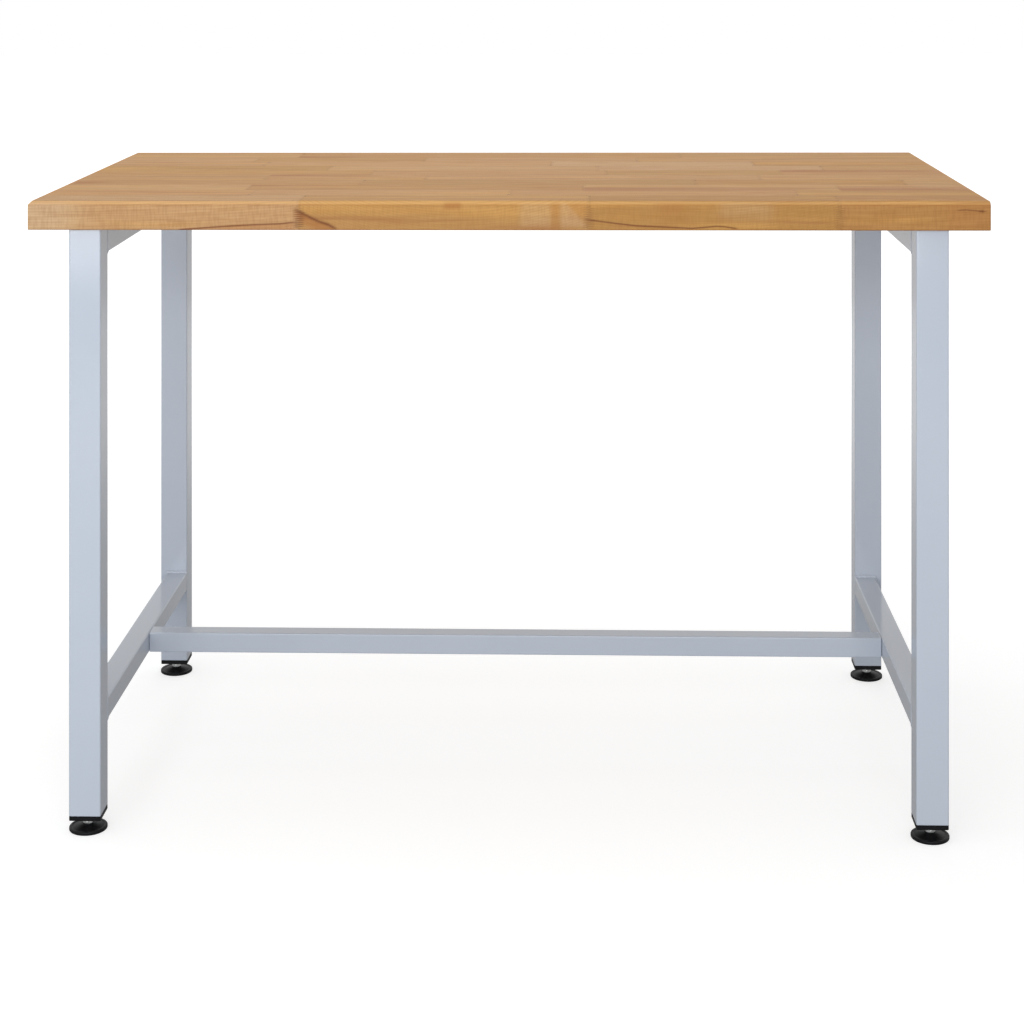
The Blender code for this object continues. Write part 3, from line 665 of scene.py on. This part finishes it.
def front_marks(x, rise, thickness):
    """How much of heart line or knot, reddish and pale wood lies at each point of the front edge, and of
    painted shade in lines along its lower edge and under its chamfer. A line is a bell curve over the height
    above or below it; a patch is a product of soft steps at its sides."""
    # Painted shade: a dark line along the lower edge, and a reddish one under the chamfer
    amount, half = LOWER_EDGE_SHADE
    brown_and_shade = bell(np.hypot(x - KNOT[0], rise - KNOT[1]), KNOT_RADIUS) + amount * bell(rise, half)
    amount, half = CHAMFER_EDGE_SHADE
    marks = {"reddish_and_shade": amount * bell(rise - (thickness - CHAMFER), half), "ash": np.zeros(len(x))}
    for half, below, path in HEART_LINES:
        spots, heights = MM * np.array(path).T
        off = rise - np.interp(x, spots, heights)
        inside = soft_step(x - spots[0], LINE_END) * soft_step(spots[-1] - x, LINE_END)
        brown_and_shade += inside * bell(off, half * MM)
        marks["reddish_and_shade"] += below * inside * soft_step(-off, RED_TOP) * soft_step(off + RED_DEPTH, RED_BOTTOM)
    for board, amount in zip(FRONT_BOARDS, COMBS):
        comb = np.exp(-(((x - board[0]) / FINGER) ** 6))
        comb *= soft_step(rise - COMB_LOW, MM) * soft_step(COMB_HIGH - rise, MM)
        brown_and_shade += amount * comb * (0.5 + 0.5 * np.cos(2 * math.pi * rise / COMB_PITCH))
    for kind, left, right, bottom, slant, soft, amount in PATCHES:
        inside = soft_step(x - left, soft) * soft_step(right + slant * rise - x, soft)
        marks[kind] += amount * inside * soft_step(rise - bottom, soft)
    return np.stack((brown_and_shade, marks["reddish_and_shade"], marks["ash"]), -1)


def wood_marks(points, low, high):
    """Heart, reddish and pale wood, and painted shade lines, at each point. The front's marks fade out across
    the chamfer; a streak on the top is a bell curve across its length, which fades from its left end."""
    x, y, z = points.T
    at_front = np.clip(1 - (y - low[1]) / CHAMFER, 0, 1)
    marks = front_marks(x, z - low[2], high[2] - low[2]) * at_front[:, None]
    on_top = z > high[2] - TOP_DEPTH
    strength, loss = STREAK_FADE
    for left, right, middle, half in TOP_STREAKS:
        fade = np.clip(strength - loss * (x - left) / (right - left), 0, 1)
        inside = soft_step(x - left, STREAK_START) * soft_step(right - x, STREAK_END) * fade
        streak = on_top * inside * bell(y - middle, half)
        marks[:, 0] += STREAK_BROWN * streak
        marks[:, 1] += STREAK_RED * streak
    return np.clip(marks, 0, 1)


def worktop_boards(low, high, middle, edges, grid):
    """The boards of every stave: start and end, on the grid's places, stave, and chances of tone, pith
    and arch. A streak on the top starts at a joint, and the front stave's boards are given."""
    rng = np.random.default_rng(WOOD_SEED)
    starts, ends, staves = [], [], []
    for stave in range(len(edges) - 1):
        lengths = rng.uniform(SHORTEST_BOARD, LONGEST_BOARD, MOST_BOARDS)
        joints = low[0] - rng.uniform(0, LONGEST_BOARD / 2) + np.cumsum(lengths)
        joints = joints[(joints > low[0] + END_BOARD) & (joints < high[0] - END_BOARD)]
        held = [left for left, _, y, _ in TOP_STREAKS if edges[stave] < y < edges[stave + 1]]
        held = [left for left in held if left > low[0] + END_BOARD]
        free = [joint for joint in joints if all(abs(joint - left) > STREAK_CLEAR for left in held)]
        joints = sorted(free + held)
        if stave == 0:
            joints = [board[0] for board in FRONT_BOARDS[:-1]]
        starts += [-BEYOND, *joints]
        ends += [*joints, BEYOND]
        staves += [stave] * (len(joints) + 1)
    starts, ends, staves = np.array(starts), np.array(ends), np.array(staves)
    snapped = grid[np.abs(grid[:, None] - ends).argmin(0)]
    ends = np.where(ends < BEYOND, snapped, ends)
    starts = np.where(starts > -BEYOND, np.roll(ends, 1), starts)

    count = len(staves)
    chances = rng.beta(TONE_SPREAD, TONE_SPREAD, (count, 3))
    off = rng.uniform(-PITH_OFF, PITH_OFF, (count, 2))
    lean = rng.uniform(-PITH_LEAN, PITH_LEAN, count)
    centre = ((edges[:-1] + edges[1:]) / 2)[staves]
    pith = np.stack((lean, centre + off[:, 0], middle[2] + off[:, 1]), -1)
    arch = np.zeros((count, 3))
    arch[:, 2] = PLAINNESS
    for number, (_, golden, red, rise, *bowed) in enumerate(FRONT_BOARDS):
        chances[number] = golden, red, 0
        pith[number] = 0, low[1], low[2] + rise
        arch[number] = bowed
    return {"start": starts, "end": ends, "stave": staves, "board": chances, "pith": pith, "arch": arch}


def worktop_section(low, high, edges):
    """The worktop's outline across its length as y and z, from the front edge up and over to the bottom,
    with the number of the straight run that each point lies on, and -1 on bends."""
    near, far = low[1], high[1]
    bottom, top = low[2], high[2]
    front = [(near, bottom + EASE), (near, top - CHAMFER), (near + CHAMFER, top)]
    back = [(far - CHAMFER, top), (far, top - CHAMFER), (far, bottom + EASE)]
    corners = np.array([*front, *back, (far - EASE, bottom), (near + EASE, bottom)])
    quarters = edges[:-1, None] + np.diff(edges)[:, None] * (0, 0.25, 0.5, 0.75)
    sides = [y + half * part for _, _, y, half in TOP_STREAKS for part in STREAK_POINTS]
    on_top = np.unique(np.concatenate((quarters.ravel()[1:], sides)))
    halves = np.sort(np.concatenate((edges[1:-1], (edges[1:] + edges[:-1]) / 2)))
    stations = {TOP_RUN: on_top, BOTTOM_RUN: halves[::-1]}
    counts = {FRONT_RUN: 2 * FINGERS + 1, BACK_RUN: FINGERS + 1}
    points, runs = [], []
    for run, corner in enumerate(corners):
        after = corners[(run + 1) % len(corners)]
        length = np.linalg.norm(after - corner)
        trim = min(ARRIS, 0.3 * length) / length
        along = np.linspace(trim, 1 - trim, counts.get(run, 3))
        if run in stations:
            held = (stations[run] - corner[0]) / (after[0] - corner[0])
            held = held[(held > EDGE_CLEAR / length) & (held < 1 - EDGE_CLEAR / length)]
            along = np.concatenate(([trim, EDGE_ROW / length], held, [1 - EDGE_ROW / length, 1 - trim]))
        turn = bend(corner, after, corners[(run + 2) % len(corners)], ARRIS)[1:-1]
        points += [corner + along[:, None] * (after - corner), turn]
        runs += [run] * len(along) + [-1] * len(turn)
    return np.vstack(points), np.array(runs)


def worktop_surface(along, section, runs, boards, low, high):
    """The section carried along x. Near the ends it is clipped by the left end's chamfer or the right
    end's ease, and drawn in for the eased upright corners. At a joint on the front or back edge, the
    points swing left and right in turn, which makes the fingers."""
    from_left = along - low[0]
    from_right = high[0] - along
    nearest = np.minimum(from_left, from_right)
    top = high[2] - np.maximum(CHAMFER - from_left, 0) - np.maximum(EASE - from_right, 0)
    bottom = low[2] + np.maximum(EASE - nearest, 0)
    reach = np.maximum(CORNER - nearest, 0)
    drawn = CORNER - np.sqrt(np.maximum(CORNER**2 - reach**2, 0))
    x = np.repeat(along[:, None], len(section), 1)
    y = section[:, 0] * (1 - drawn / high[1])[:, None]
    z = np.clip(section[:, 1], bottom[:, None], top[:, None])
    for run, stave in ((FRONT_RUN, 0), (BACK_RUN, boards["stave"].max())):
        picked = np.flatnonzero(runs == run)
        swing = FINGER * np.cos(math.pi * FINGERS * np.linspace(0, 1, len(picked)))
        swing[:2] = swing[-2:] = 0
        for joint in boards["end"][(boards["stave"] == stave) & (boards["end"] < BEYOND)]:
            x[:, picked] += bell(along - joint, FINGER_FADE)[:, None] * swing
    return np.stack((x, y, z), -1)


def glued_sides(edges):
    """The staves' edges, with the outer two, where there is no glue, moved far away."""
    return np.concatenate(([-BEYOND], edges[1:-1], [BEYOND]))


def board_faces(along, section, runs, edges, boards):
    """The board that each face of the worktop's grid belongs to, from the middle of the face, and the
    distance in mm from each of its corners to that board's glued edges."""
    start, end = boards["start"], boards["end"]
    y, next_y = section[:, 0], np.roll(section[:, 0], -1)
    stave = np.clip(np.searchsorted(edges, (y + next_y) / 2) - 1, 0, len(edges) - 2)
    middle = ((along[:-1] + along[1:]) / 2)[:, None, None]
    board = ((boards["stave"] == stave[:, None]) & (middle > start) & (middle < end)).argmax(-1)
    corner_x = np.stack((along[:-1], along[:-1], along[1:], along[1:]), -1)[:, None]
    corner_y = np.stack((y, next_y, next_y, y), -1)
    to_joint = np.minimum(corner_x - start[board][..., None], end[board][..., None] - corner_x)
    fingered = np.isin(runs, (FRONT_RUN, BACK_RUN))[:, None]
    to_joint = np.where(fingered, to_joint * FINGER_SLANT, to_joint)
    sides = glued_sides(edges)
    to_side = np.minimum(corner_y - sides[stave][:, None], sides[stave + 1][:, None] - corner_y)
    return board, np.maximum(np.minimum(to_joint, to_side), 0) / MM


def end_faces(rows, section, edges, boards):
    """The worktop's sawn ends, one face for each stave: its corners in the grid, its board, and the
    distance in mm from each corner to the glue."""
    y = section[:, 0]
    sides = glued_sides(edges)
    faces, numbers, seams = [], [], []
    for row, order in ((0, -1), (rows - 1, 1)):
        for stave in range(len(edges) - 1):
            inside = (y > edges[stave] - HAIR) & (y < edges[stave + 1] + HAIR)
            picked = np.flatnonzero(inside)[::order]
            faces.append((row * len(section) + picked).tolist())
            numbers.append(np.flatnonzero(boards["stave"] == stave)[0 if row == 0 else -1])
            seams.append(np.minimum(y[picked] - sides[stave], sides[stave + 1] - y[picked]) / MM)
    return faces, numbers, seams


def make_worktop(finish):
    """The panel of staves, with the board, pith, arch, marks and distance to the glue as attributes."""
    low, high, middle = box_of("worktop")
    edges = np.append(np.arange(low[1], high[1] - MM, STAVE_WIDTH), high[1])
    grid = np.arange(low[0] + CHAMFER, high[0] - CHAMFER, GRID_STEP)
    along = np.concatenate((low[0] + END_ROWS, grid, np.sort(high[0] - END_ROWS)))
    boards = worktop_boards(low, high, middle, edges, grid)
    section, runs = worktop_section(low, high, edges)
    points, faces = skin(worktop_surface(along, section, runs, boards, low, high))
    board, seam = board_faces(along, section, runs, edges, boards)
    ends, end_boards, end_seams = end_faces(len(along), section, edges, boards)
    made = piece("beech_panel", points, faces[:-2] + ends, finish, "beech", stands_for=("worktop",))
    numbers = np.concatenate((board.ravel(), end_boards))
    layers = [(name, "FACE", boards[name][numbers]) for name in ("board", "pith", "arch")]
    layers.append(("marks", "POINT", wood_marks(points, low, high)))
    for name, domain, values in layers:
        layer = made.data.attributes.new(name, "FLOAT_VECTOR", domain)
        layer.data.foreach_set("vector", values.astype(np.float32).ravel())
    layer = made.data.attributes.new("seam_mm", "FLOAT", "CORNER")
    layer.data.foreach_set("value", np.concatenate((seam.ravel(), *end_seams)).astype(np.float32))


def eased_rows(start, end):
    """Places along a tube, and how far its outline is drawn in there, by a quarter circle at each end."""
    turn = np.linspace(0, math.pi / 2, 5)
    run = np.append(TUBE_EASE * (1 - np.cos(turn)), TUBE_EASE + SUPPORT)
    inset = np.append(TUBE_EASE * (1 - np.sin(turn)), 0)
    return np.concatenate((start + run, end - run[::-1])), np.concatenate((inset, inset[::-1]))


def cut_port(points, faces, shape, wall, axis, middle, radius):
    """Cuts a round hole through one wall of a tube's grid. A square patch of it is pressed into a disc,
    outside and inside, and left out, and a rim joins the two round it. Gives the faces that are left."""
    count, columns = shape
    rows = 2 + np.arange(len(wall))
    index = np.arange(count * columns).reshape(count, columns)
    outside = index[np.ix_(rows, wall)]
    inside = index[np.ix_(count - 1 - rows, wall)]
    part = np.linspace(-1, 1, len(wall))
    down = np.sign(points[outside[0, -1], 2] - points[outside[0, 0], 2])
    a, b = np.meshgrid(part, down * part, indexing="ij")
    for patch in (outside, inside):
        points[patch, axis] = middle[axis] + radius * a * np.sqrt(1 - b**2 / 2)
        points[patch, 2] = middle[2] + radius * b * np.sqrt(1 - a**2 / 2)
    gone = np.zeros(shape, dtype=bool)
    gone[np.ix_(rows[:-1], wall[:-1])] = True
    gone[np.ix_(count - 2 - rows[:-1], wall[:-1])] = True
    kept = np.array(faces)[~gone.ravel()].tolist()
    loops = [np.concatenate((p[0, :-1], p[:-1, -1], p[-1, :0:-1], p[:0:-1, 0])) for p in (outside, inside)]
    rim = np.stack((loops[0], np.roll(loops[0], -1), np.roll(loops[1], -1), loops[1]), -1)
    return kept + rim.tolist()


def make_tube(name, axis, corner, finish, port=0.0):
    """A square tube along one axis: the rounded outline up the outside and down the inside. A port is a
    round hole of that radius in the outer wall; a tube with a port is welded over its ends, which stay
    square."""
    low, high, middle = box_of(name)
    across = [i for i in range(3) if i != axis]
    size = (high - low)[across]
    held = PORT_CELLS + 1 if port else 0
    if port:
        beside = np.concatenate(([-PORT_CLEAR], np.linspace(-1, 1, held), [PORT_CLEAR]))
        station = np.concatenate(([low[axis]], middle[axis] + port * beside, [high[axis]]))
        drawn = np.zeros(len(station))
    else:
        station, drawn = eased_rows(low[axis], high[axis])
    outer = np.stack([rounded_outline(*(size - 2 * inset), corner - inset, held) for inset in drawn])
    inner = rounded_outline(*(size - 2 * TUBE_WALL), max(corner - TUBE_WALL, LEAST_CORNER), held)
    count, columns = len(station), len(inner)
    surface = np.empty((2 * count, columns, 3))
    surface[:count, :, across] = outer + middle[across]
    surface[count:, :, across] = inner + middle[across]
    surface[..., axis] = np.concatenate((station, station[::-1]))[:, None]
    points, faces = skin(surface, ring=True)
    if port:
        flat = 1 if middle[0] < 0 else 3
        wall = np.arange(held) + (flat + 1) * columns // 4 - held
        faces = cut_port(points, faces, surface.shape[:2], wall, axis, middle, port)
    piece(name + "_tube", points, faces, finish, "powder_coat", stands_for=(name,))


def make_bead(rail, end, finish):
    """A weld bead round a rail's end: an ellipse carried along the rail's outline, rippling like a row of
    coins, and low where the rail is flush with the leg. Under the worktop it leaves out the top."""
    low, high, middle = box_of(rail)
    outline = rounded_outline(high[0] - low[0], high[2] - low[2], RAIL_CORNER)
    closed = rail.startswith("lower")
    half = len(outline) // 2
    path = np.vstack((outline, outline[:1])) if closed else np.vstack((outline[half - 1 :], outline[:1]))
    length = np.concatenate(([0], np.cumsum(np.linalg.norm(np.diff(path, axis=0), axis=1))))
    total = length[-1]
    along = np.linspace(0, total, round(total / BEAD_STEP), endpoint=not closed)
    spot = np.stack([np.interp(along, length, path[:, i]) for i in (0, 1)], -1)
    if closed:
        further = [np.interp(along + BEAD_STEP / 4, length, path[:, i], period=total) for i in (0, 1)]
        ahead = np.stack(further, -1) - spot
    else:
        ahead = np.gradient(spot, axis=0)
    ahead /= np.linalg.norm(ahead, axis=1)[:, None]
    outward = np.stack((ahead[:, 1], -ahead[:, 0]), -1)[:, None]
    ripples = round(total / BEAD_RIPPLE)
    crest = np.abs(np.sin(math.pi * along * (ripples / total)))[:, None]
    # Each bead starts its drift elsewhere
    drift = np.sin(along / BEAD_DRIFT + middle[0] * 9 + low[1])[:, None]
    size = BEAD_LEAST + BEAD_CREST * crest + BEAD_SWELL * drift
    if not closed:
        size = size * np.sqrt(np.clip(np.minimum(along, total - along) / BEAD_END, 0.05, 1))[:, None]
    flush = np.clip(-np.sign(middle[0]) * outward[..., 0], 0, 1)
    rise = BEAD_RISE + (BEAD_FLUSH - BEAD_RISE) * flush
    angle = np.arange(BEAD_SIDES) * 2 * math.pi / BEAD_SIDES
    surface = np.empty((len(along), len(angle), 3))
    surface[..., [0, 2]] = spot[:, None] + middle[[0, 2]] + outward * (rise * size * np.cos(angle))[..., None]
    joint = high[1] if end == "rear" else low[1]
    surface[..., 1] = joint + BEAD_REACH * size * np.sin(angle)
    piece(f"weld_{rail}_{end}", *skin(surface, ring=closed), finish, "powder_coat", sharp=60)


def make_washer(name, axis, hole, finish):
    """A flat washer with its edges tumbled round: a closed profile round an axis."""
    low, high, middle = box_of(name)
    half = (high - low)[axis] / 2
    edge = (high - low)[(axis + 1) % 3] / 2
    corners = ((edge, -half), (edge, half), (hole / 2, half), (hole / 2, -half))
    radius, height = soften(corners, WASHER_EASE, closed=True).T
    surface = turned(height, radius, middle, axis=axis)
    piece(name + "_fine", *skin(surface, ring=True), finish, "zinc", stands_for=(name,))


def make_bolt(side, finish):
    """A hexagon bolt inside the lower rail: shank, round face and chamfered head, turned about x."""
    name = "stretcher_bolt_" + side
    low, high, middle = box_of(name)
    outward = -1 if side == "left" else 1
    length = high[0] - low[0]
    seat = length - BOLT_HEAD
    head_height, head_radius = hexagon_rows(seat + BOLT_FACE, length)
    shank = BOLT_DIAMETER / 2
    face = BOLT_FACE_DIAMETER / 2
    heights = np.concatenate(([0, BOLT_TIP, seat, seat, seat + BOLT_FACE], head_height, [length]))
    stages = (round_rows([shank - BOLT_TIP, shank, shank, face, face]), head_radius, round_rows([face * 0.9]))
    centre = (low[0] if side == "right" else high[0], *middle[1:])
    surface = turned(heights, np.vstack(stages), centre, axis=0, outward=outward)
    piece(name + "_fine", *skin(surface), finish, "zinc", stands_for=(name,))


def make_screw(name, finish):
    """A button-head screw seen from below: hexagon socket, domed head, and a shank into the wood."""
    low, high, middle = box_of(name)
    head, flat = SCREW_HEAD_DIAMETER / 2, SCREW_FLAT_DIAMETER / 2
    shank, tip = SCREW_DIAMETER / 2, SCREW_TIP_DIAMETER / 2
    dome = np.linspace(0.12, 1, 9) * math.pi / 2
    dome_radius = flat + (head - flat) * np.sin(dome)
    dome_height = SCREW_CROWN * (1 - np.cos(dome))
    length = high[2] - low[2]
    below = [SOCKET_DEPTH, SOCKET_LEAD, 0, 0]
    above = [SCREW_HEAD, SCREW_HEAD, length - SCREW_POINT, length]
    socket = across_hexagon(SOCKET_FLATS)
    stages = (
        np.stack((socket, socket, socket + SOCKET_EASE)),
        round_rows([flat, *dome_radius, head, shank, shank, tip]),
    )
    centre = (*middle[:2], low[2])
    surface = turned(np.concatenate((below, dome_height, above)), np.vstack(stages), centre)
    piece(name + "_fine", *skin(surface), finish, "zinc", stands_for=(name,))


def make_stem(foot, finish):
    """A levelling stem: ball and neck, spanner hexagon, and a right-handed M8 thread whose radius is a
    triangle wave of height over pitch less the angle in turns, running out at both ends."""
    name = "foot_stem_" + foot
    _, high, middle = box_of(name)
    ball, neck, rod = BALL_DIAMETER / 2, NECK_DIAMETER / 2, BOLT_DIAMETER / 2
    swing = np.linspace(-math.acos(BALL_FLAT / 2 / ball), math.acos(neck / ball), 18)
    top = high[2]
    hex_top = top - STEM_ABOVE_HEX
    hex_low = hex_top - STEM_HEX
    hex_height, hex_radius = hexagon_rows(hex_low, hex_top)
    climb = np.arange(hex_top, top, THREAD_PITCH / THREAD_ROWS)
    turn = np.arange(SIDES_ROUND) / SIDES_ROUND
    wave = np.abs((climb[:, None] / THREAD_PITCH - turn) % 1 * 2 - 1)
    run_out = np.clip((climb - hex_top) / THREAD_RUN_OUT - 0.2, 0, 1)[:, None]
    steep, drop = THREAD_FORM
    thread = rod - THREAD_DEPTH * np.clip(steep * wave - drop, 0, 1) * run_out
    thread = np.minimum(thread, rod - BOLT_TIP + (top - climb)[:, None])
    heights = (BALL_ABOVE_FLOOR + ball * np.sin(swing), [hex_low], hex_height, climb, [top])
    stages = (round_rows([*(ball * np.cos(swing)), neck]), hex_radius, thread, round_rows([rod - BOLT_TIP]))
    surface = turned(np.concatenate(heights), np.vstack(stages), (*middle[:2], 0))
    piece(name + "_thread", *skin(surface), finish, "zinc", body=name, stands_for=(name,), sharp=50)


def make_pad(foot, finish):
    """A moulded pad: sole with two grooves, upright rim, cone and hub, and the socket round the ball,
    turned about the upright axis."""
    name = "foot_pad_" + foot
    low, high, middle = box_of(name)
    edge = (high - low)[0] / 2
    top = high[2]
    cup, mouth = CUP_DIAMETER / 2, MOUTH_DIAMETER / 2
    hub = cup + PAD_HUB_WALL
    recess = edge - SOLE_WIDTH
    inner_rim = edge - PAD_RIM_WIDTH
    profile = [(recess, SOLE_RECESS), (recess, 0)]
    for inset in GROOVES:
        groove = edge - inset
        profile += [(groove, 0), (groove + GROOVE_SLANT, GROOVE_DEPTH)]
        profile += [(groove + GROOVE_WIDTH - GROOVE_SLANT, GROOVE_DEPTH), (groove + GROOVE_WIDTH, 0)]
    profile += [(edge - PAD_EASE, 0), (edge, PAD_EASE)]
    profile += [(edge, PAD_RIM - PAD_EASE), (edge - PAD_EASE, PAD_RIM)]
    profile += [(inner_rim, PAD_RIM), (inner_rim - PAD_EASE, PAD_RIM - PAD_STEP)]
    profile += [(hub, top - PAD_COLLAR), (hub, top), (mouth, top)]
    radius, height = soften(profile, PAD_SOFTNESS).T
    swing = np.linspace(math.acos(mouth / cup), -math.acos(BALL_FLAT / 2 / cup), 14)
    heights = np.concatenate((height, BALL_ABOVE_FLOOR + cup * np.sin(swing)))
    radii = np.concatenate((radius, cup * np.cos(swing)))
    surface = turned(heights, radii, (*middle[:2], 0), sides=PAD_SIDES)
    piece(name + "_fine", *skin(surface), finish, "black_plastic", body=name, stands_for=(name,))


def dress_rest(finishes):
    """Gives every solid that still shows the finish of its slot."""
    slots = {entry["node"]: entry["material_slot"] for entry in frame["record"]["subparts"]}
    for name, thing in frame["nodes"].items():
        for holder in thing.material_slots:
            holder.material = finishes[slots[name]]


def main():
    finishes = {
        "beech": oiled_beech(),
        "powder_coat": powder_coat(),
        "zinc": zinc_plate(),
        "steel": bare_steel(),
        "black_plastic": black_nylon(),
    }
    coat, zinc = finishes["powder_coat"], finishes["zinc"]
    place_camera()
    light_up()
    lay_floor()
    make_worktop(finishes["beech"])
    for foot in FEET:
        make_tube("leg_" + foot, 2, LEG_CORNER, coat)
        make_stem(foot, zinc)
        make_pad(foot, finishes["black_plastic"])
    make_tube("stretcher", 0, RAIL_CORNER, coat)
    for side in SIDES:
        for rail, port in (("upper_rail_" + side, 0.0), ("lower_rail_" + side, PORT_DIAMETER / 2)):
            make_tube(rail, 1, RAIL_CORNER, coat, port)
            for end in ENDS:
                make_bead(rail, end, coat)
        make_bolt(side, zinc)
        make_washer("stretcher_washer_" + side, 0, BOLT_DIAMETER, zinc)
        for row in SCREW_ROWS:
            make_screw(f"worktop_screw_{side}_{row}", zinc)
            make_washer(f"worktop_washer_{side}_{row}", 2, SCREW_DIAMETER, zinc)
    dress_rest(finishes)


bpy.context.scene.view_settings.view_transform = "Standard"
main()
